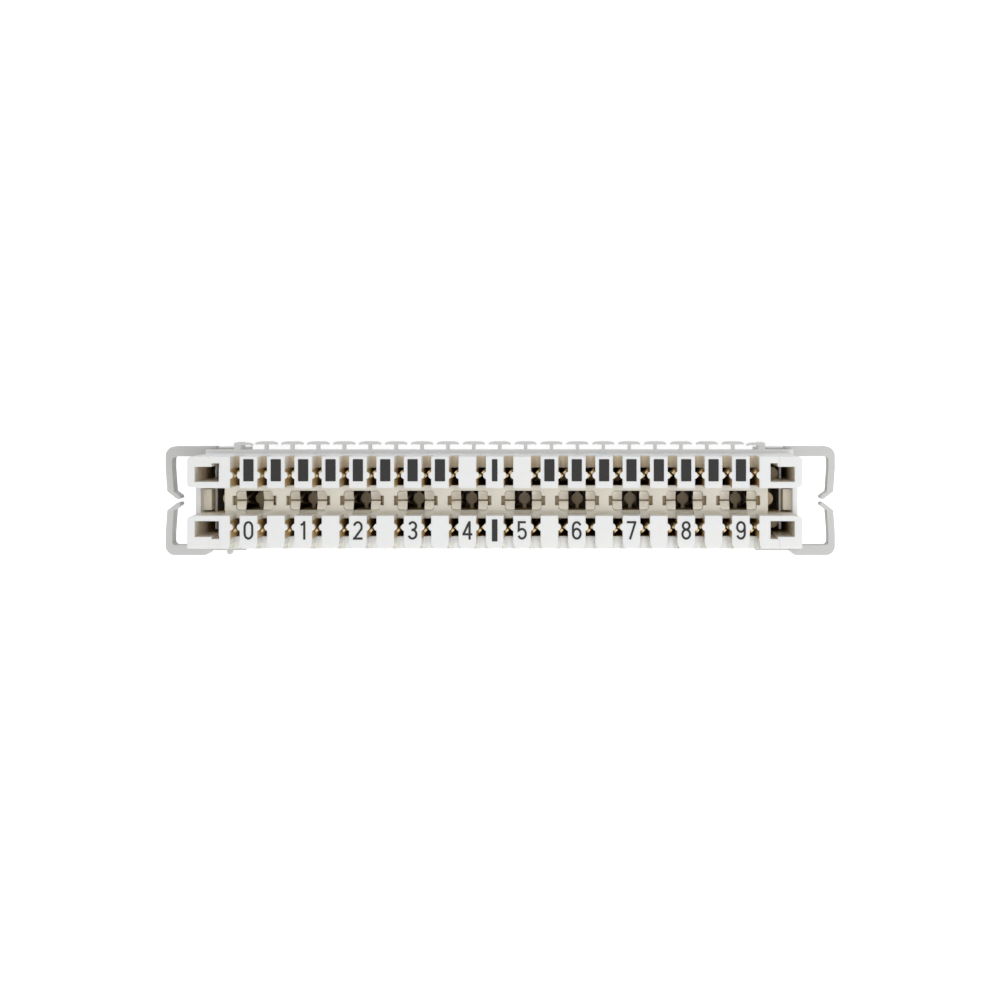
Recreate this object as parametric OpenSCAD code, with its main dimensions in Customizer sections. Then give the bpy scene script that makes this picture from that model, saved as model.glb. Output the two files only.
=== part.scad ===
// Ten-pair disconnection block for insulation-displacement wiring, mounted on two round rods.
// Millimetres. +X runs along the rows, +Y points to the cable side, +Z points to the user.
// Z = 0 is the underside of the feet, and the origin is the middle of the bottom of the outer box.

/* [Rows] */
// Pairs of wires on each side
pair_count = 10; // [10]
// Distance between neighbouring wire slots
slot_pitch = 4.75; // [4.5:0.05:5.0]
// Width of a wire slot
slot_width = 1.7; // [1.65:0.05:1.9]
// Thickness of the strip metal of the contacts
contact_thickness = 0.4; // [0.3:0.05:0.4]

/* [Housing] */
// Height of the tab tops above the underside of the feet
tab_top = 38; // [36:0.5:40]
// Length of the contact housing
housing_length = 106.8; // [106:0.2:108]
// Reach of the housing from the datum plane to the cable side
cable_side_reach = 7.76; // [7.6:0.02:7.9]
// Reach of the housing from the datum plane to the jumper side
jumper_side_reach = 8.73; // [8.66:0.01:8.8]
// How far the tops of the jumper-side tabs stand back from the wall below them
jumper_tab_setback = 0.75; // [0.6:0.05:0.8]
// Depth of the middle strip below the tab tops
strip_depth = 4.87; // [4.5:0.1:5.2]

/* [Base] */
// Height of the comb's top, where the housing rests on the base
rim_top = 23.2; // [22:0.2:24]
// Length of the base without its wire loops
base_length = 107.6; // [107.4:0.2:108]
// Length over both wire loops
overall_length = 123.6; // [122:0.2:126]
// Height of the wire loops' top
loop_top = 20.8; // [20.4:0.2:21.2]
// Depth of the wire loops along Z
loop_height = 3.0; // [2.4:0.2:3.4]
// Thickness of the wire loops' straight bars
loop_bar = 1.85; // [1.6:0.05:2.0]

/* [Rod mounting] */
// Diameter of the mounting rods
rod_diameter = 12; // [12]
// Distance between the rods' axes
rod_spacing = 95; // [94:0.5:96]
// Height of the rods' axes above the underside of the feet
rod_axis_height = 4; // [3.8:0.1:4.2]
// Thickness of the rod clips' spring steel
clip_thickness = 0.6; // [0.5:0.05:0.6]

/* [Hidden] */
$fn = 48;
slot_count = 2 * pair_count;
pair_pitch = 2 * slot_pitch;
eps = 0.5;          // how far a cutter runs past the face that it opens
fit_gap = 0.05;     // clearance between two mouldings

// Along Y, from the block's datum plane near the middle of the groove
groove = [-2.5, 2.29];          // between the tab rows
end_gap = [-2.6, 2.45];         // between the end blocks
spring_plane = -0.22;           // where the cable-side and jumper-side springs meet
cable_chamber = [2.47, 5.6];    // the contact chambers, measured outwards on their own side
jumper_chamber = [3.35, 6.55];
cable_fork = 4.65;              // the middles of the forks, measured outwards
jumper_fork = 4.88;
bump_offset = 4.5;              // the wire grips in a slot, measured outwards
comb_reach = 9.87;              // the comb's outermost face
loop_front = -11.25;            // the wire loops
loop_back = 8.86;
section_front = -10.45;         // the base's end sections
section_back = 8.56;
foot_front = -9.0;              // the feet
foot_back = 7.2;
plug = [-7.07, 6.71];           // the housing's lower part, inside the base
wall_front = -8.95;             // the base's rim between its end sections
wall_back = 8.36;
rim_overhang = 0.8;             // how far the rim stands out over the walls below it
datum_y = -(comb_reach + loop_front) / 2;

// Heights
strip_top = tab_top - strip_depth;
strip_thickness = 1.5;
plug_bottom = 15;               // the housing's lower edge, on the base's floor
rim_thickness = 1.5;
rib_thickness = 1.0;
post_depth = 4;
floor_thickness = 2;
floor_bottom = plug_bottom - floor_thickness;
slot_floor = strip_top - 0.53;
bump_depth = 1.4;
well_floor = 22;
window = [17.2, 20.2];           // the latch windows in the base's walls
window_half = 3;
ledge_top = loop_top - 1.0;

// Lengths from the middle of the block
half_housing = housing_length / 2;
half_base = base_length / 2;
last_slot = (slot_count - 1) / 2 * slot_pitch;
latch_places = [-36, -12, 12, 36];
strip_end = last_slot + 2.875;
chamber_end = half_housing - 0.9;
plug_half = half_housing - 1.0;
section_start = 47.4;
post_end = 48.65;
loop_reach = overall_length / 2;

// Earth strips
earth_x = [50.6, 51.0];
earth_top = tab_top - 10.4;
earth_half = 5.75;
earth_tail_half = 3;

// Rod clips
rod_radius = rod_diameter / 2;
clip_radius = rod_radius + clip_thickness;
clip_length = 14;
clip_end_height = 0.9;
foot_half = 7.6;
seat_half = clip_radius + 0.02;
lip_half = 5.5;
lip_height = 0.8;
clip_top = rod_axis_height + clip_radius;
clip_bar_half = 4.2;

// Marks
ink = 0.03;
mark_height = 3.85;
mark_width = 1.78;
mark_corner = 0.12;
mark_y = 5.4;
digit_height = 3.22;
digit_width = 1.7;
digit_stroke = 0.38;
digit_y = -5.04;

function two_digits(i) = str(i < 10 ? "0" : "", i);
function contact_name(side, i) = str(side, "_contact_", two_digits(i));
function slot_x(i) = (i - (slot_count - 1) / 2) * slot_pitch;
function notch_side(i) = i % 2 == 0 ? -1 : 1;
function pair_x(k) = (k - (pair_count - 1) / 2) * pair_pitch;

// ---- Strips of constant width along a path ----

function heading(a, b) = (b - a) / norm(b - a);
function left_of(v) = [-v.y, v.x];

// A corner of a path, moved to the path's left by d along the mitre
function mitred(previous, corner, next, d) =
    let (before = left_of(heading(previous, corner)))
    let (after = left_of(heading(corner, next)))
    let (across = heading([0, 0], before + after))
    corner + across * d / (across * before);

// One side of an open path, at distance d to its left
function path_side(path, d) =
    let (last = len(path) - 1)
    concat(
        [path[0] + d * left_of(heading(path[0], path[1]))],
        [for (i = [1:last - 1]) mitred(path[i - 1], path[i], path[i + 1], d)],
        [path[last] + d * left_of(heading(path[last - 1], path[last]))]
    );

function reversed(list) = [for (i = [len(list) - 1:-1:0]) list[i]];
function strip(path, width) = concat(path_side(path, width / 2), reversed(path_side(path, -width / 2)));

// A closed path, grown by d to its left
function loop_side(path, d) =
    let (n = len(path))
    [for (i = [0:n - 1]) mitred(path[(i + n - 1) % n], path[i], path[(i + 1) % n], d)];

function arc(centre, radius, from, to, steps = 6) = [
    for (s = [0:steps])
        let (a = from + (to - from) * s / steps)
        centre + radius * [cos(a), sin(a)]
];

// ---- Solids ----

// A block given by its lowest and highest x, y and z
module block(x, y, z) {
    translate([x[0], y[0], z[0]])
        cube([x[1] - x[0], y[1] - y[0], z[1] - z[0]]);
}

// An outline in the XZ plane, extruded between two values of y
module along_y(y) {
    translate([0, y[1], 0])
        rotate([90, 0, 0])
            linear_extrude(y[1] - y[0]) children();
}

// An outline in the YZ plane, extruded between two values of x
module along_x(x) {
    translate([x[0], 0, 0])
        rotate([90, 0, 90])
            linear_extrude(x[1] - x[0]) children();
}

module rounded_rectangle(x, y, r) {
    translate([x[0] + r, y[0]]) square([x[1] - x[0] - 2 * r, y[1] - y[0]]);
    translate([x[0], y[0] + r]) square([x[1] - x[0], y[1] - y[0] - 2 * r]);
    for (cx = [x[0] + r, x[1] - r], cy = [y[0] + r, y[1] - r])
        translate([cx, cy]) circle(r);
}

module both_ends() {
    children();
    mirror([1, 0, 0]) children();
}

// The whole block hangs on the datum plane, which is off the middle of the outer box
module placed() {
    translate([0, datum_y, 0]) children();
}

// ---- Contact housing ----

// A wire slot in the row towards +Y: its opening, its half-round sill and its contact chamber
module wire_slot(chamber, reach) {
    half = slot_width / 2;
    sill_axis = slot_floor + half;
    block([-half, half], [groove[1] - eps, reach + eps], [strip_top, tab_top + eps]);
    block([-half, half], [chamber[1] - eps, reach + eps], [sill_axis, strip_top + eps]);
    translate([0, chamber[1] - eps, sill_axis])
        rotate([-90, 0, 0]) cylinder(r = half, h = reach + 2 * eps - chamber[1]);
    block([-half, half], chamber, [plug_bottom - eps, tab_top + eps]);
}

// The two round noses that pinch the wire in a slot
module wire_grips() {
    waist = 0.72;
    nose = 0.62;
    for (side = [-1, 1])
        translate([side * (waist / 2 + nose), bump_offset, tab_top - bump_depth])
            cylinder(r = nose, h = bump_depth);
}

// The space below the strip in which a pair of springs meets
module spring_cavity() {
    half = slot_width / 2 + 0.025;
    block([-half, half], [-jumper_chamber[1], cable_chamber[1]],
          [plug_bottom - eps, strip_top - strip_thickness]);
}

// The opening over a pair of springs, with clipped corners and a narrow notch at each end
module aperture() {
    opening_half = 3.25;
    straight_half = 2.85;
    notch_half = 3.88;
    well_half = 2;
    height_half = 1.74;
    notch_height_half = 0.85;
    opening = [
        [straight_half, height_half], [opening_half, height_half - (opening_half - straight_half)],
        [opening_half, notch_height_half], [notch_half, notch_height_half],
        [notch_half, -notch_height_half], [opening_half, -notch_height_half],
        [opening_half, -height_half + opening_half - straight_half], [straight_half, -height_half]
    ];
    difference() {
        union() {
            translate([0, 0, strip_top - strip_thickness - eps])
                linear_extrude(strip_thickness + 2 * eps)
                    polygon(concat(opening, [for (p = opening) [-p.x, -p.y]]));
            block([-well_half, well_half], [-height_half, height_half], [well_floor, strip_top]);
        }
        well_rib();
    }
}

// The rib and round pad that stand up from the floor of an aperture's well
module well_rib() {
    rib_half = 0.31;
    pad_radius = 1.03;
    rib_height = 5.3;
    block([-rib_half, rib_half], [-2, 2], [well_floor - eps, well_floor + rib_height]);
    translate([0, 0, well_floor - eps]) cylinder(r = pad_radius, h = rib_height + eps);
}

module end_cavities() {
    pocket_inner = 47.9;
    pocket_outer = 52.1;
    pocket_corner = 49.2;
    pocket_floor = plug_bottom + 1.5;
    channel = [47.7, 49.5];
    channel_start = 6;
    channel_floor = tab_top - 0.15;
    block([strip_end, chamber_end], groove, [pocket_floor, tab_top + eps]);
    block(channel, [channel_start, cable_side_reach + eps], [channel_floor, tab_top + eps]);
    block(channel, [-jumper_side_reach - eps, -channel_start], [channel_floor, tab_top + eps]);
    block([pocket_inner, pocket_outer], [3.38, 6.0], [pocket_floor, tab_top + eps]);
    block([pocket_inner, pocket_corner], [5.5, 6.6], [pocket_floor, tab_top + eps]);
    block([pocket_inner, pocket_outer], [-6.18, -3.44], [pocket_floor, tab_top + eps]);
    block([pocket_inner, pocket_corner], [-6.57, -5.7], [pocket_floor, tab_top + eps]);
    block([earth_x[0] - fit_gap, earth_x[1] + fit_gap], [-earth_half - fit_gap, earth_half + fit_gap],
          [plug_bottom - eps, earth_top + fit_gap]);
}

// The pad behind the earth strip and the three pegs in front of it
module end_details() {
    pad_top = tab_top - 8;
    pad = [-2.15, 1.6];
    peg_radius = 1.2;
    peg_top = tab_top - 10;
    block([earth_x[1] + fit_gap, plug_half], pad, [plug_bottom, pad_top]);
    block([earth_x[1] + fit_gap, chamber_end + eps], pad, [rim_top, pad_top]);
    for (peg = [[49.2, -4.3], [48.3, spring_plane], [49.2, 4.3]])
        translate([peg.x, peg.y, plug_bottom]) cylinder(r = peg_radius, h = peg_top - plug_bottom);
}

module contact_housing() {
    color("ivory")
        placed() {
            difference() {
                housing_shell();
                housing_groove();
                tab_draft();
                both_ends() end_cavities();
                for (i = [0:slot_count - 1])
                    translate([slot_x(i), 0, 0]) {
                        wire_slot(cable_chamber, cable_side_reach);
                        mirror([0, 1, 0]) {
                            wire_slot(jumper_chamber, jumper_side_reach);
                            slot_mouth();
                        }
                        spring_cavity();
                    }
                for (k = [0:pair_count - 1])
                    translate([pair_x(k), spring_plane, 0]) aperture();
            }
            both_ends() end_details();
            latch_noses();
            for (i = [0:slot_count - 1])
                translate([slot_x(i), 0, 0]) {
                    wire_grips();
                    mirror([0, 1, 0]) wire_grips();
                }
        }
}

module housing_shell() {
    corner = 0.7;
    translate([0, 0, rim_top])
        linear_extrude(tab_top - rim_top)
            rounded_rectangle([-half_housing, half_housing], [-jumper_side_reach, cable_side_reach], corner);
    block([-plug_half, plug_half], plug, [plug_bottom, rim_top + eps]);
}

// What slopes the ends of the jumper-side tabs and rounds their upper edge
module tab_draft() {
    edge_radius = 0.25;
    top_reach = jumper_side_reach - jumper_tab_setback;
    along_x([-half_housing - eps, half_housing + eps])
        polygon(concat(
            [[-jumper_side_reach - eps, tab_top + eps], [-jumper_side_reach - eps, strip_top],
             [-jumper_side_reach, strip_top]],
            arc([-top_reach, tab_top - edge_radius], edge_radius, 180, 90, 4),
            [[-top_reach, tab_top + eps]]
        ));
}

// What widens a jumper-side slot towards its outer end and takes off the tabs' corners
module slot_mouth() {
    half = slot_width / 2;
    flare_start = jumper_chamber[1] + 0.3;
    corner_start = jumper_side_reach - jumper_tab_setback - 0.4;
    corner_end = corner_start + 0.4;
    reach = jumper_side_reach + eps;
    side = [[half, flare_start], [half + 0.08, corner_start], [half + 0.3, corner_end], [half + 0.3, reach]];
    translate([0, 0, slot_floor + half])
        linear_extrude(tab_top)
            polygon(concat(side, [for (p = reversed(side)) [-p.x, p.y]]));
}

// Wedges that click into the windows of the base
module latch_noses() {
    reach = 0.7;
    root = 0.4;
    nose_half = 2.8;
    nose_top = window[1] - 0.1;
    nose_bottom = window[0] + 0.4;
    lip_height = 0.6;
    wedge = [
        [-root, nose_top], [reach, nose_top], [reach, nose_top - lip_height],
        [0, nose_bottom], [-root, nose_bottom]
    ];
    for (x = latch_places)
        along_x([x - nose_half, x + nose_half]) {
            polygon([for (p = wedge) [plug[1] + p.x, p.y]]);
            polygon([for (p = wedge) [plug[0] - p.x, p.y]]);
        }
}

module housing_groove() {
    end_wall_top = tab_top - 5.9;
    gutter = [groove[0], -2.02];
    gutter_drop = 0.4;
    notch_half = 1.68;
    notch_drop = 0.9;
    gap_radius = 0.6;
    block([-strip_end - eps, strip_end + eps], groove, [strip_top, tab_top + eps]);
    block([-strip_end - eps, strip_end + eps], gutter, [strip_top - gutter_drop, tab_top]);
    for (k = [0:pair_count - 1])
        translate([pair_x(k), 0, 0])
            block([-notch_half, notch_half], gutter, [strip_top - notch_drop, tab_top]);
    both_ends() {
        block([chamber_end - eps, half_housing + eps], end_gap, [end_wall_top, tab_top + eps]);
        translate([half_housing, end_gap[1], end_wall_top]) corner_cut(gap_radius);
        translate([half_housing, end_gap[0], end_wall_top]) mirror([0, 1, 0]) corner_cut(gap_radius);
    }
}

// What rounds an upright edge at the origin whose solid lies towards -X and +Y
module corner_cut(r) {
    linear_extrude(tab_top)
        difference() {
            translate([-r, -eps]) square([r + eps, r + eps]);
            translate([-r, r]) circle(r);
        }
}

// ---- Contacts ----

// A contact whose spring meets the next one at y = 0: fork, foot and spring, cut and bent from one strip.
// The spring's tip flares out, and its corner is cut off on the side of its pair's notch, at -1 or 1.
module contact(fork_y, notch_side) {
    blade_width = 1.94;
    blade_top = tab_top - 1.5;
    fork_depth = 6;
    wire_gap = 0.1;
    mouth = 0.36;
    mouth_depth = 0.3;
    shoulder = 0.3;
    arm_width = 1.66;
    half_t = contact_thickness / 2;
    half_w = blade_width / 2;
    rest = plug_bottom + half_t;
    touch = half_t + 0.03;
    fork = [
        [-half_w, plug_bottom], [half_w, plug_bottom], [half_w, blade_top - shoulder],
        [half_w - shoulder, blade_top], [mouth / 2, blade_top], [wire_gap / 2, blade_top - mouth_depth],
        [wire_gap / 2, blade_top - fork_depth], [-wire_gap / 2, blade_top - fork_depth],
        [-wire_gap / 2, blade_top - mouth_depth], [-mouth / 2, blade_top],
        [-half_w + shoulder, blade_top], [-half_w, blade_top - shoulder]
    ];
    bend = 0.3;
    touch_height = strip_top - 1.3;
    flare = 27;
    tip_y = 1.68;
    tip_height = touch_height + bend * cos(flare) + (tip_y - touch - bend * (1 - sin(flare))) * tan(flare);
    arm = concat(
        [[fork_y + 0.4, rest]],
        arc([2.6, rest + 1], 1, 270, 190, 4),
        [[1.45, 22], [touch, touch_height - 0.4]],
        arc([touch + bend, touch_height], bend, 180, 90 + flare, 4),
        [[tip_y, tip_height]]
    );
    clipped_corner = 0.4;
    translate([0, fork_y, 0])
        rotate([90, 0, 45])
            linear_extrude(contact_thickness, center = true) polygon(fork);
    difference() {
        along_x([-arm_width / 2, arm_width / 2]) polygon(strip(arm, contact_thickness));
        translate([notch_side * arm_width / 2, tip_y, strip_top])
            rotate([0, 0, 45]) cube([clipped_corner * sqrt(2), clipped_corner * sqrt(2), 2], center = true);
    }
}

module cable_contact(i) {
    color("silver")
        placed()
            translate([slot_x(i), spring_plane, 0])
                contact(cable_fork - spring_plane, notch_side(i));
}

module jumper_contact(i) {
    color("silver")
        placed()
            translate([slot_x(i), spring_plane, 0])
                rotate([0, 0, 180]) contact(jumper_fork + spring_plane, -notch_side(i));
}

module earth_contact(side) {
    color("gainsboro")
        placed()
            mirror([side < 0 ? 1 : 0, 0, 0]) {
                block(earth_x, [-earth_half, earth_half], [plug_bottom, earth_top]);
                block(earth_x, [-earth_tail_half, earth_tail_half], [clip_top, plug_bottom + eps]);
            }
}

// ---- Base ----

// The right half of a rib's head in plan, with its tip drooping towards the wall
function half_head(reach, thickness) = [
    [0, 0], [0.55 * reach, 0], [0.8 * reach, -0.09], [reach - 0.12, -0.24], [reach, -0.36],
    [reach - 0.06, -0.58], [reach - 0.3, -0.6], [0.75 * reach, -thickness + 0.08], [0.5 * reach, -thickness],
    [0, -thickness]
];

// One rib of the comb, in plan: a stem from the rim and a head across it
module comb_rib() {
    head_half = 2.02;
    head_thickness = 0.57;
    stem_half = 0.31;
    translate([0, comb_reach]) {
        polygon(half_head(head_half, head_thickness));
        mirror([1, 0]) polygon(half_head(head_half, head_thickness));
    }
    translate([-stem_half, wall_back - eps])
        square([2 * stem_half, comb_reach - head_thickness / 2 - wall_back + eps]);
}

module comb() {
    translate([0, 0, rim_top - rib_thickness])
        linear_extrude(rib_thickness)
            for (k = [0:slot_count - 2])
                translate([slot_x(k) + slot_pitch / 2, 0]) comb_rib();
    both_ends() comb_post();
}

// The post at an end of the comb, with half a head that points at the ribs
module comb_post() {
    post_back = 9.65;
    hook_reach = 2.15;
    post_corner = 0.15;
    translate([0, 0, rim_top - post_depth])
        linear_extrude(post_depth)
            rounded_rectangle([section_start, post_end], [wall_back - 1, post_back], post_corner);
    translate([section_start, post_back, rim_top - rib_thickness])
        mirror([1, 0, 0])
            linear_extrude(rib_thickness) polygon(half_head(hook_reach, 0.5));
    translate([section_start - eps, post_back - 0.5, rim_top - rib_thickness])
        cube([2 * eps, 0.5, rib_thickness]);
}

// A wire loop in plan at the right end, open between its two tips
module wire_loop() {
    centre_y = (loop_front + loop_back) / 2;
    half = (loop_back - loop_front) / 2;
    translate([0, centre_y]) half_loop(half);
    difference() {
        translate([0, centre_y]) mirror([0, 1]) half_loop(half);
        jumper_bar_end();
    }
}

// What rounds off the inner end of the jumper-side bar, where it stands out from the ledge
module jumper_bar_end() {
    end_x = 53.5;
    end_radius = 1.3;
    translate([end_x - 2, loop_front - eps]) square([2, end_radius + eps]);
    translate([end_x, loop_front])
        difference() {
            translate([-eps, -eps]) square(end_radius + eps);
            translate([end_radius, end_radius]) circle(end_radius);
        }
}

module half_loop(half) {
    outer_r = 1.75;
    inner_r = 0.65;
    wall = 1.2;
    lean = 0.3;
    bend = 6;
    kink = 1.75;
    tip = [59.45, 0.65];
    tip_radius = 0.36;
    difference() {
        translate([half_base - 1.2, 0]) corner_block(loop_reach - half_base + 1.2, half, outer_r);
        translate([half_base - 2, -1])
            corner_block(loop_reach - wall - half_base + 2, half - loop_bar + 1, inner_r);
        translate([half_base, -1]) square([20, bend + 1]);
    }
    polygon([[loop_reach - wall, bend], [loop_reach, bend], [loop_reach - lean, kink],
             [tip.x + 0.3, tip.y - 0.26], [tip.x - 0.3, tip.y + 0.24], [loop_reach - wall - lean, kink]]);
    translate(tip) circle(tip_radius);
}

// A rectangle from the origin with one rounded corner at its far end
module corner_block(length, width, r) {
    square([length - r, width]);
    square([length, width - r]);
    translate([length - r, width - r]) circle(r);
}

module foot() {
    x = rod_spacing / 2;
    difference() {
        block([x - foot_half, x + foot_half], [foot_front, foot_back], [0, floor_bottom + eps]);
        block([x - seat_half, x + seat_half], [foot_front - eps, foot_back + eps], [lip_height, clip_top]);
        block([x - lip_half, x + lip_half], [foot_front - eps, foot_back + eps], [-eps, lip_height + eps]);
    }
}

module base_end() {
    block([section_start, half_base], [section_front, section_back], [floor_bottom, ledge_top]);
    translate([0, 0, loop_top - loop_height]) linear_extrude(loop_height) wire_loop();
    foot();
}

// A small round key on the jumper side, at the left end only
module key_pin() {
    pin_radius = 0.52;
    pin_length = 0.8;
    translate([-50.2, section_front - 0.25, ledge_top - pin_length])
        cylinder(r = pin_radius, h = pin_length);
}

// Round marks that an ejector pin leaves on the tops of two opposite bars
module ejector_marks() {
    mark_radius = 0.6;
    mark_depth = 0.08;
    for (place = [[-54.4, 7.85], [54.3, -9.8]])
        translate([place.x, place.y, loop_top - mark_depth])
            cylinder(r = mark_radius, h = mark_depth + eps);
}

module base() {
    color("lightgray")
        placed()
            difference() {
                union() {
                    block([-half_base, half_base], [wall_front, wall_back],
                          [rim_top - rim_thickness, rim_top]);
                    block([-half_base, half_base], [wall_front + rim_overhang, wall_back - rim_overhang],
                          [floor_bottom, rim_top - eps]);
                    comb();
                    both_ends() base_end();
                    skirts();
                    floor_ribs();
                    key_pin();
                }
                ejector_marks();
                block([-plug_half - fit_gap, plug_half + fit_gap], [plug[0] - fit_gap, plug[1] + fit_gap],
                      [plug_bottom, rim_top + eps]);
                for (x = latch_places)
                    block([x - window_half, x + window_half], [wall_front - eps, wall_back + eps], window);
                both_ends()
                    block([earth_x[0] - fit_gap, earth_x[1] + fit_gap],
                          [-earth_tail_half - fit_gap, earth_tail_half + fit_gap],
                          [clip_top - eps, plug_bottom + eps]);
            }
}

// Low side walls that guide the cable between the feet
module skirts() {
    skirt_bottom = 9.5;
    skirt_wall = 1.2;
    reach = rod_spacing / 2 - foot_half + eps;
    front = wall_front + rim_overhang;
    back = wall_back - rim_overhang;
    block([-reach, reach], [front, front + skirt_wall], [skirt_bottom, floor_bottom + eps]);
    block([-reach, reach], [back - skirt_wall, back], [skirt_bottom, floor_bottom + eps]);
}

// Ribs across the underside of the floor
module floor_ribs() {
    rib_bottom = 11;
    rib_half = 0.5;
    for (x = [-30:15:30])
        block([x - rib_half, x + rib_half], [wall_front + rim_overhang + eps, wall_back - rim_overhang - eps],
              [rib_bottom, floor_bottom + eps]);
}

// ---- Rod clips ----

module clip_outline() {
    difference() {
        circle(clip_radius);
        circle(rod_radius);
        translate([-10, -20]) square([20, 20 + clip_end_height - rod_axis_height]);
    }
    difference() {
        translate([-clip_bar_half, rod_radius]) square([2 * clip_bar_half, clip_thickness]);
        circle(rod_radius);
    }
}

module rod_clamp(side) {
    middle = (foot_front + foot_back) / 2;
    color("slategray")
        placed()
            translate([side * rod_spacing / 2, 0, rod_axis_height])
                along_y([middle - clip_length / 2, middle + clip_length / 2]) clip_outline();
}

// ---- Printed marks ----

// An arc of an oval half as wide as radii.x and half as high as radii.y
function oval(centre, radii, from, to, steps = 10) = [
    for (s = [0:steps])
        let (a = from + (to - from) * s / steps)
        centre + [radii.x * cos(a), radii.y * sin(a)]
];

bowl = [0.5, 0.59];     // the half axes of a digit's large bowl, which reaches its top or bottom
upper = [0, 0.41];
lower = [0, -0.41];

// The open strokes of each digit, in a box 1 wide and 2 high around its middle
function digit_strokes(d) =
    d == 1 ? [[[0.15, 1.13], [0.15, -1.13]], [[-0.3, 0.62], [0.15, 0.93]]] :
    d == 2 ? [concat(oval(upper, bowl, 165, -28), [[-0.4, -0.93]]), [[-0.65, -1.0], [0.62, -1.0]]] :
    d == 3 ? [concat(oval([0, 0.54], [0.46, 0.46], 160, -75), [[-0.14, 0.05]]),
              concat([[-0.14, 0.05]], oval([-0.02, -0.47], [0.52, 0.53], 75, -160))] :
    d == 4 ? [[[0.3, 1.13], [0.3, -1.13]], [[0.24, 1.0], [-0.5, -0.45]], [[-0.64, -0.48], [0.66, -0.48]]] :
    d == 5 ? [concat([[0.5, 1.0], [-0.42, 1.0], [-0.44, -0.02]], oval(lower, bowl, 125, -155))] :
    d == 6 ? [concat(oval(upper, bowl, 20, 180, 8), [[-0.5, -0.41]])] :
    d == 7 ? [[[-0.62, 1.0], [0.64, 1.0]], [[0.5, 0.98], [-0.2, -1.11]]] :
    d == 9 ? [concat(oval(lower, bowl, -160, 0, 8), [[0.5, 0.41]])] : [];

// The closed strokes of each digit
function digit_loops(d) =
    d == 0 ? [concat(oval(upper, bowl, 0, 180), oval(lower, bowl, 180, 360))] :
    d == 6 ? [ring(lower, bowl)] :
    d == 8 ? [ring([0, 0.56], [0.44, 0.44]), ring([0, -0.46], [0.5, 0.54])] :
    d == 9 ? [ring(upper, bowl)] : [];

function ring(centre, radii) = oval(centre, radii, 0, 345, 23);

module digit(d) {
    function placed_path(path) =
        [for (p = path) [p.x * (digit_width - digit_stroke), p.y * (digit_height - digit_stroke) / 2]];
    for (path = digit_strokes(d))
        polygon(strip(placed_path(path), digit_stroke));
    for (path = digit_loops(d))
        difference() {
            polygon(loop_side(placed_path(path), -digit_stroke / 2));
            polygon(loop_side(placed_path(path), digit_stroke / 2));
        }
}

module printed_field(width) {
    rounded_rectangle([-width / 2, width / 2], [-mark_height / 2, mark_height / 2], mark_corner);
}

module printed_marks() {
    bar_width = 0.97;
    color("black")
        placed()
            translate([0, 0, tab_top])
                linear_extrude(ink) {
                    for (k = [2:9], side = [-1, 1])
                        translate([side * k * slot_pitch, mark_y]) printed_field(mark_width);
                    for (y = [mark_y, digit_y])
                        translate([0, y]) printed_field(bar_width);
                    for (d = [0:pair_count - 1])
                        translate([pair_x(d), digit_y]) digit(d);
                }
}

contact_housing();
base();
rod_clamp(-1);  // rod_clamp_left
rod_clamp(1);  // rod_clamp_right
earth_contact(-1);  // earth_contact_left
earth_contact(1);  // earth_contact_right
printed_marks();
for (i = [0:slot_count - 1]) {
    cable_contact(i);
    jumper_contact(i);
}
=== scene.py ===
"""Punch down wiring block: materials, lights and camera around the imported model."""

import bpy
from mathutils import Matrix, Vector


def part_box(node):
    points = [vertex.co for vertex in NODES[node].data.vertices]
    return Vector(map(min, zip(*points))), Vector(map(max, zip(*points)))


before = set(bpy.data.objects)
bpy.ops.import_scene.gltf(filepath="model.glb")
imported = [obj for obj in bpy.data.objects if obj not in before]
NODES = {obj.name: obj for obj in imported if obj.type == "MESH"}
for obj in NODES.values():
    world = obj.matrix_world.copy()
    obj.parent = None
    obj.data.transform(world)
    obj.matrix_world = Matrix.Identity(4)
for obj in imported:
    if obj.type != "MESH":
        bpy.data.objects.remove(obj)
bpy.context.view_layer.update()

MM = 0.001
HOUSING_LOW, HOUSING_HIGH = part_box("contact_housing")
BASE_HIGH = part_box("base")[1]
TAB_TOP = HOUSING_HIGH.z
HOUSING_MIDDLE_Y = (HOUSING_LOW.y + HOUSING_HIGH.y) / 2
# The housing reaches 7.76 mm behind the datum plane of the block
DATUM_Y = HOUSING_HIGH.y - 7.76 * MM
SLOT_PITCH = 4.75 * MM
SLOT_HALF = 0.85 * MM
# Lengths from the middle of the block: the slots' end, the end pockets' start and the end walls' start
LAST_SLOT_EDGE = 46.0 * MM
POCKET_START = 47.85 * MM
END_WALL = 52.3 * MM
# How far below the tab tops the painted cavity shade reaches its darkest colour
DEEPEST_PAINTED_SHADE = 14 * MM
# The contact chambers in the wire slots, outwards from the datum plane
CABLE_CHAMBER = (2.47 * MM, 5.6 * MM)
JUMPER_CHAMBER = (3.35 * MM, 6.55 * MM)
# Where the springs of a pair meet, from the datum plane
SPRING_PLANE = -0.22 * MM


# ---- Shader helpers ----

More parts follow.
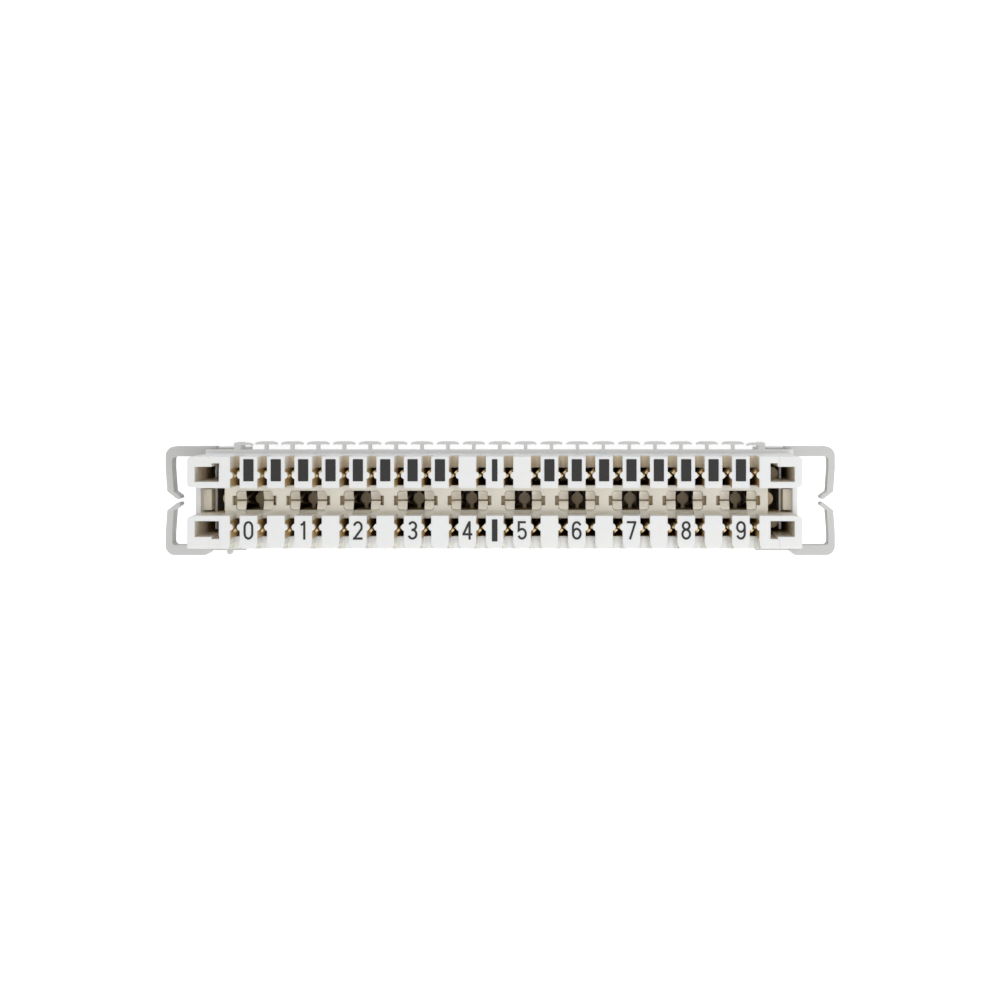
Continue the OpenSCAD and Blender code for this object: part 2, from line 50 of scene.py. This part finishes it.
class Shader:
    """A node material under construction: one Principled shader and what feeds it."""

    def __init__(self, name, roughness=0.5, metallic=0.0):
        self.material = bpy.data.materials.new(name)
        self.material.use_nodes = True
        self.tree = self.material.node_tree
        self.principled = self.tree.nodes["Principled BSDF"]
        self.principled.inputs["Roughness"].default_value = roughness
        self.principled.inputs["Metallic"].default_value = metallic

    def node(self, kind, **settings):
        made = self.tree.nodes.new(kind)
        for key, value in settings.items():
            setattr(made, key, value)
        return made

    def link(self, source, target):
        self.tree.links.new(source, target)

    def math(self, operation, a, b=0.0):
        made = self.node("ShaderNodeMath", operation=operation)
        for socket, value in zip(made.inputs, (a, b)):
            if isinstance(value, (int, float)):
                socket.default_value = value
            else:
                self.link(value, socket)
        return made.outputs[0]

    def ramp(self, factor, stops):
        made = self.node("ShaderNodeValToRGB")
        elements = made.color_ramp.elements
        while len(elements) < len(stops):
            elements.new(0.5)
        for element, (position, colour) in zip(elements, stops):
            element.position = position
            element.color = (*colour, 1.0)
        self.link(factor, made.inputs[0])
        return made.outputs[0]

    def range(self, value, low, high, to_low=0.0, to_high=1.0):
        made = self.node("ShaderNodeMapRange")
        self.link(value, made.inputs[0])
        for socket, number in zip(made.inputs[1:5], (low, high, to_low, to_high)):
            socket.default_value = number
        return made.outputs[0]

    def mix(self, factor, a, b):
        made = self.node("ShaderNodeMix", data_type="RGBA")
        for socket, value in ((made.inputs[0], factor), (made.inputs[6], a), (made.inputs[7], b)):
            if isinstance(value, (int, float)):
                socket.default_value = value
            elif isinstance(value, tuple):
                socket.default_value = (*value, 1.0)
            else:
                self.link(value, socket)
        return made.outputs[2]

    def position(self):
        """The place on the object in metres, whole and split into x, y and z."""
        coordinates = self.node("ShaderNodeTexCoord").outputs["Object"]
        split = self.node("ShaderNodeSeparateXYZ")
        self.link(coordinates, split.inputs[0])
        return coordinates, split.outputs

    def noise(self, coordinates, scale, detail):
        made = self.node("ShaderNodeTexNoise")
        self.link(coordinates, made.inputs["Vector"])
        made.inputs["Scale"].default_value = scale
        made.inputs["Detail"].default_value = detail
        return made.outputs["Fac"]

    def bump(self, height, strength, distance):
        made = self.node("ShaderNodeBump")
        made.inputs["Strength"].default_value = strength
        made.inputs["Distance"].default_value = distance
        self.link(height, made.inputs["Height"])
        self.link(made.outputs[0], self.principled.inputs["Normal"])

    def colour(self, source):
        self.link(source, self.principled.inputs["Base Color"])

    def roughness(self, source):
        self.link(source, self.principled.inputs["Roughness"])


def srgb(r, g, b):
    """A colour in 0 to 255 as seen on a screen, as linear numbers."""
    return tuple(v / 255 / 12.92 if v <= 10 else ((v / 255 + 0.055) / 1.055) ** 2.4 for v in (r, g, b))


# ---- Materials ----

def inside_band(s, value, low, high, blur):
    """1 where value lies between low and high, with soft edges of the width blur."""
    above = s.range(value, low - blur, low + blur)
    below = s.range(value, high - blur, high + blur, 1.0, 0.0)
    return s.math("MULTIPLY", above, below)


def slot_mask(s, x):
    """1 in the columns of the wire slots, which repeat along x."""
    turns = s.math("DIVIDE", x, SLOT_PITCH)
    from_middle = s.math("ABSOLUTE", s.math("SUBTRACT", s.math("FRACT", turns), 0.5))
    edge = (SLOT_HALF + 0.02 * MM) / SLOT_PITCH
    edge_end = (SLOT_HALF + 0.1 * MM) / SLOT_PITCH
    column = s.range(from_middle, edge, edge_end, 1.0, 0.0)
    among_slots = s.range(s.math("ABSOLUTE", x), LAST_SLOT_EDGE, LAST_SLOT_EDGE + 0.1 * MM, 1.0, 0.0)
    return s.math("MULTIPLY", column, among_slots)


def white_plastic():
    """White moulding, slightly translucent, with painted shade: its cavities turn cream and then brown
    deeper down, and its slot sills and ramps are painted by how they face the light.
    """
    s = Shader("white_plastic", roughness=0.4)
    coordinates, (x, y, z) = s.position()
    depth = s.math("SUBTRACT", TAB_TOP, z)
    cavity_depth = s.range(depth, 0.0, DEEPEST_PAINTED_SHADE)
    across = s.math("SUBTRACT", y, DATUM_Y)
    half_width = (HOUSING_HIGH.y - HOUSING_LOW.y) / 2
    from_middle = s.math("ABSOLUTE", s.math("SUBTRACT", y, HOUSING_MIDDLE_Y))
    inside_x = s.range(s.math("ABSOLUTE", x), END_WALL, END_WALL + 0.15 * MM, 1.0, 0.0)
    skin_inner = half_width - 0.3 * MM
    skin_outer = half_width - 0.05 * MM
    inside_y = s.range(from_middle, skin_inner, skin_outer, 1.0, 0.0)
    inside = s.math("MULTIPLY", inside_x, inside_y)
    patches = s.noise(coordinates, 180, 3)
    outside = s.mix(patches, srgb(230, 232, 233), srgb(236, 237, 236))

    # Painted shade in the cavities: cream and then brown with depth below the tab tops
    painted_cavity_shade = s.ramp(cavity_depth, [
        (0.0, srgb(234, 235, 234)), (0.05, srgb(236, 235, 231)), (0.31, srgb(240, 236, 226)),
        (0.42, srgb(236, 230, 215)), (0.5, srgb(196, 172, 126)), (0.62, srgb(160, 134, 86)),
        (1.0, srgb(132, 112, 70)),
    ])
    # Painted shade in the wide end pockets, kept lighter than in the narrower cavities
    painted_pocket_shade = s.ramp(cavity_depth, [
        (0.0, srgb(234, 235, 234)), (0.1, srgb(238, 232, 220)), (0.58, srgb(240, 232, 216)),
        (0.72, srgb(214, 194, 158)), (1.0, srgb(170, 146, 104)),
    ])
    in_pocket = s.range(s.math("ABSOLUTE", x), POCKET_START, POCKET_START + 0.1 * MM)
    painted_cavity_shade = s.mix(in_pocket, painted_cavity_shade, painted_pocket_shade)
    # Painted shade in the contact chambers of the slots, turning brown just below the top
    painted_chamber_shade = s.ramp(cavity_depth, [
        (0.0, srgb(234, 235, 234)), (0.02, srgb(232, 224, 206)), (0.06, srgb(216, 194, 150)),
        (0.25, srgb(208, 178, 124)), (0.6, srgb(184, 154, 100)), (1.0, srgb(140, 112, 70)),
    ])
    slots = slot_mask(s, x)
    in_cable = inside_band(s, across, *CABLE_CHAMBER, 0.03 * MM)
    in_jumper = inside_band(s, across, -JUMPER_CHAMBER[1], -JUMPER_CHAMBER[0], 0.03 * MM)
    in_chamber = s.math("MULTIPLY", slots, s.math("MAXIMUM", in_cable, in_jumper))
    painted_shading = s.mix(in_chamber, painted_cavity_shade, painted_chamber_shade)

    # Painted shade: the slot sills on the cable side face away from the key light and turn cream deeper
    # down
    sill = s.math("MULTIPLY", slots, s.range(across, CABLE_CHAMBER[1], CABLE_CHAMBER[1] + 0.05 * MM))
    sill_painted_shade = s.mix(s.range(depth, 1 * MM, 5 * MM), srgb(240, 238, 232), srgb(230, 218, 196))
    painted_shading = s.mix(sill, painted_shading, sill_painted_shade)
    # Painted light: the slot ramps on the jumper side face the key light and are painted near white
    outer_edge = -JUMPER_CHAMBER[1]
    ramp = s.math("MULTIPLY", slots, s.range(across, outer_edge - 0.05 * MM, outer_edge, 1.0, 0.0))
    painted_shading = s.mix(ramp, painted_shading, srgb(240, 242, 242))
    s.colour(s.mix(inside, outside, painted_shading))
    s.principled.inputs["Subsurface Weight"].default_value = 0.35
    s.principled.inputs["Subsurface Radius"].default_value = (1.0, 0.75, 0.45)
    s.principled.inputs["Subsurface Scale"].default_value = 1.4 * MM
    s.roughness(s.range(s.noise(coordinates, 900, 4), 0.3, 0.7, 0.36, 0.46))
    s.bump(s.noise(coordinates, 4500, 2), 0.08, 0.02 * MM)
    return s.material


def grey_plastic():
    """Grey moulding with painted light along its rim, where the white housing throws its light on it."""
    s = Shader("grey_plastic", roughness=0.45)
    coordinates, (_, _, z) = s.position()
    patches = s.noise(coordinates, 140, 3)
    grey = s.mix(patches, srgb(200, 200, 198), srgb(206, 206, 204))
    # Painted light: the top of the rim is coloured lighter than the rest of the grey
    rim_start = BASE_HIGH.z - 2.3 * MM
    rim_full = BASE_HIGH.z - 1.5 * MM
    rim = s.range(z, rim_start, rim_full)
    s.colour(s.mix(rim, grey, srgb(232, 232, 230)))
    s.principled.inputs["Subsurface Weight"].default_value = 0.2
    s.principled.inputs["Subsurface Radius"].default_value = (0.8, 0.8, 0.75)
    s.principled.inputs["Subsurface Scale"].default_value = 0.8 * MM
    s.roughness(s.range(s.noise(coordinates, 900, 4), 0.3, 0.7, 0.4, 0.52))
    s.bump(s.noise(coordinates, 4500, 2), 0.1, 0.02 * MM)
    return s.material


def contact_metal():
    """Silvered strip with painted shade: a brown line in the crevice between two springs, and tan deeper
    down and on the forks in the slots.
    """
    crevice_half = 0.03 * MM
    clean_from = 0.14 * MM
    shade_start = 5.6 * MM
    shade_full = 9 * MM
    fork_start = 2.6 * MM
    fork_full = 2.9 * MM
    s = Shader("contact_metal", roughness=0.42, metallic=0.75)
    coordinates, (_, y, z) = s.position()
    across = s.math("ABSOLUTE", s.math("SUBTRACT", y, DATUM_Y + SPRING_PLANE))
    rolled = s.noise(coordinates, 220, 2)
    bright = s.mix(rolled, srgb(236, 231, 219), srgb(245, 241, 231))
    # Painted shade: a brown line where the two springs of a pair meet
    crevice_painted_shade = s.mix(s.range(across, crevice_half, clean_from), srgb(92, 72, 42), bright)
    # Painted shade: the strip turns tan deeper below the tab tops
    shade = s.range(s.math("SUBTRACT", TAB_TOP, z), shade_start, shade_full)
    # Painted shade: the fork blades, down in the wire slots, are painted tan
    fork = s.range(across, fork_start, fork_full)
    depth_painted_shade = s.mix(shade, crevice_painted_shade, srgb(170, 142, 96))
    s.colour(s.mix(fork, depth_painted_shade, srgb(186, 164, 122)))
    s.roughness(s.range(s.noise(coordinates, 1600, 3), 0.3, 0.7, 0.38, 0.5))
    return s.material


def spring_steel():
    s = Shader("spring_steel", roughness=0.4, metallic=0.5)
    coordinates, _ = s.position()
    s.colour(s.mix(s.noise(coordinates, 500, 3), srgb(176, 175, 172), srgb(196, 195, 191)))
    s.roughness(s.range(s.noise(coordinates, 1400, 3), 0.3, 0.7, 0.34, 0.48))
    return s.material


def ink():
    s = Shader("ink", roughness=0.6)
    coordinates, _ = s.position()
    s.principled.inputs["Specular IOR Level"].default_value = 0.2
    s.colour(s.mix(s.noise(coordinates, 2600, 4), srgb(44, 43, 43), srgb(56, 55, 54)))
    return s.material


def paint(material, *names):
    for name in names:
        slots = NODES[name].material_slots
        if not slots:
            NODES[name].data.materials.append(material)
        for slot in slots:
            slot.material = material


def dress_nodes():
    contacts = [name for name in NODES if name.startswith(("cable_contact_", "jumper_contact_"))]
    paint(white_plastic(), "contact_housing")
    paint(grey_plastic(), "base")
    paint(contact_metal(), *contacts)
    paint(spring_steel(), "rod_clamp_left", "rod_clamp_right", "earth_contact_left", "earth_contact_right")
    paint(ink(), "printed_marks")


# ---- Studio ----

def add_camera():
    """Straight above the block, off to its right and back, with the frame shifted back onto it."""
    height = 270 * MM
    frame_width = 173.6 * MM
    to_right = 16.2 * MM
    to_back = 20.2 * MM
    data = bpy.data.cameras.new("camera")
    camera = bpy.data.objects.new("camera", data)
    bpy.context.scene.collection.objects.link(camera)
    camera.location = (to_right, DATUM_Y + to_back, TAB_TOP + height)
    data.lens = data.sensor_width * height / frame_width
    data.shift_x = -0.088
    data.shift_y = -0.115
    data.clip_start = 0.01
    data.clip_end = 10
    bpy.context.scene.camera = camera


def add_light(name, place, target, size, power):
    data = bpy.data.lights.new(name, "AREA")
    data.shape = "SQUARE"
    data.size = size
    data.energy = power
    light = bpy.data.objects.new(name, data)
    bpy.context.scene.collection.objects.link(light)
    light.location = place
    light.rotation_euler = (Vector(target) - Vector(place)).to_track_quat("-Z", "Y").to_euler()
    light.visible_camera = False


def seen(tree):
    """1 for what the camera, gloss and glass see, and 0 for all other light."""
    path = tree.nodes.new("ShaderNodeLightPath")
    first = tree.nodes.new("ShaderNodeMath")
    first.operation = "MAXIMUM"
    second = tree.nodes.new("ShaderNodeMath")
    second.operation = "MAXIMUM"
    tree.links.new(path.outputs["Is Camera Ray"], first.inputs[0])
    tree.links.new(path.outputs["Is Glossy Ray"], first.inputs[1])
    tree.links.new(first.outputs[0], second.inputs[0])
    tree.links.new(path.outputs["Is Transmission Ray"], second.inputs[1])
    return second.outputs[0]


def add_floor():
    mesh = bpy.data.meshes.new("floor")
    half = 1.5
    corners = [(-half, -half, 0), (half, -half, 0), (half, half, 0), (-half, half, 0)]
    mesh.from_pydata(corners, [], [(0, 1, 2, 3)])
    floor = bpy.data.objects.new("floor", mesh)
    bpy.context.scene.collection.objects.link(floor)
    s = Shader("floor_white", roughness=0.9)
    coordinates, _ = s.position()
    s.colour(s.mix(s.noise(coordinates, 30, 2), (0.78, 0.78, 0.78), (0.8, 0.8, 0.8)))
    s.principled.inputs["Specular IOR Level"].default_value = 0.0
    seen_glow = 0.6
    glow = s.math("MULTIPLY", seen(s.tree), seen_glow)
    s.principled.inputs["Emission Color"].default_value = (1, 1, 1, 1)
    s.link(glow, s.principled.inputs["Emission Strength"])
    mesh.materials.append(s.material)


def add_world():
    world = bpy.data.worlds.new("studio")
    world.use_nodes = True
    tree = world.node_tree
    background = tree.nodes["Background"]
    ambient = 0.5
    background.inputs["Color"].default_value = (1, 1, 1, 1)
    level = tree.nodes.new("ShaderNodeMapRange")
    level.inputs[3].default_value = ambient
    level.inputs[4].default_value = 1.0
    tree.links.new(seen(tree), level.inputs[0])
    tree.links.new(level.outputs[0], background.inputs["Strength"])
    bpy.context.scene.world = world


def add_studio():
    middle = (0, HOUSING_MIDDLE_Y, TAB_TOP)
    add_light("key", place=(0.3, -0.7, 0.65), target=middle, size=0.5, power=3.1)
    add_light("top", place=(0.1, 0.0, 1.0), target=middle, size=0.8, power=3.0)
    add_floor()
    add_world()
    bpy.context.scene.view_settings.view_transform = "Standard"


add_camera()
add_studio()
dress_nodes()
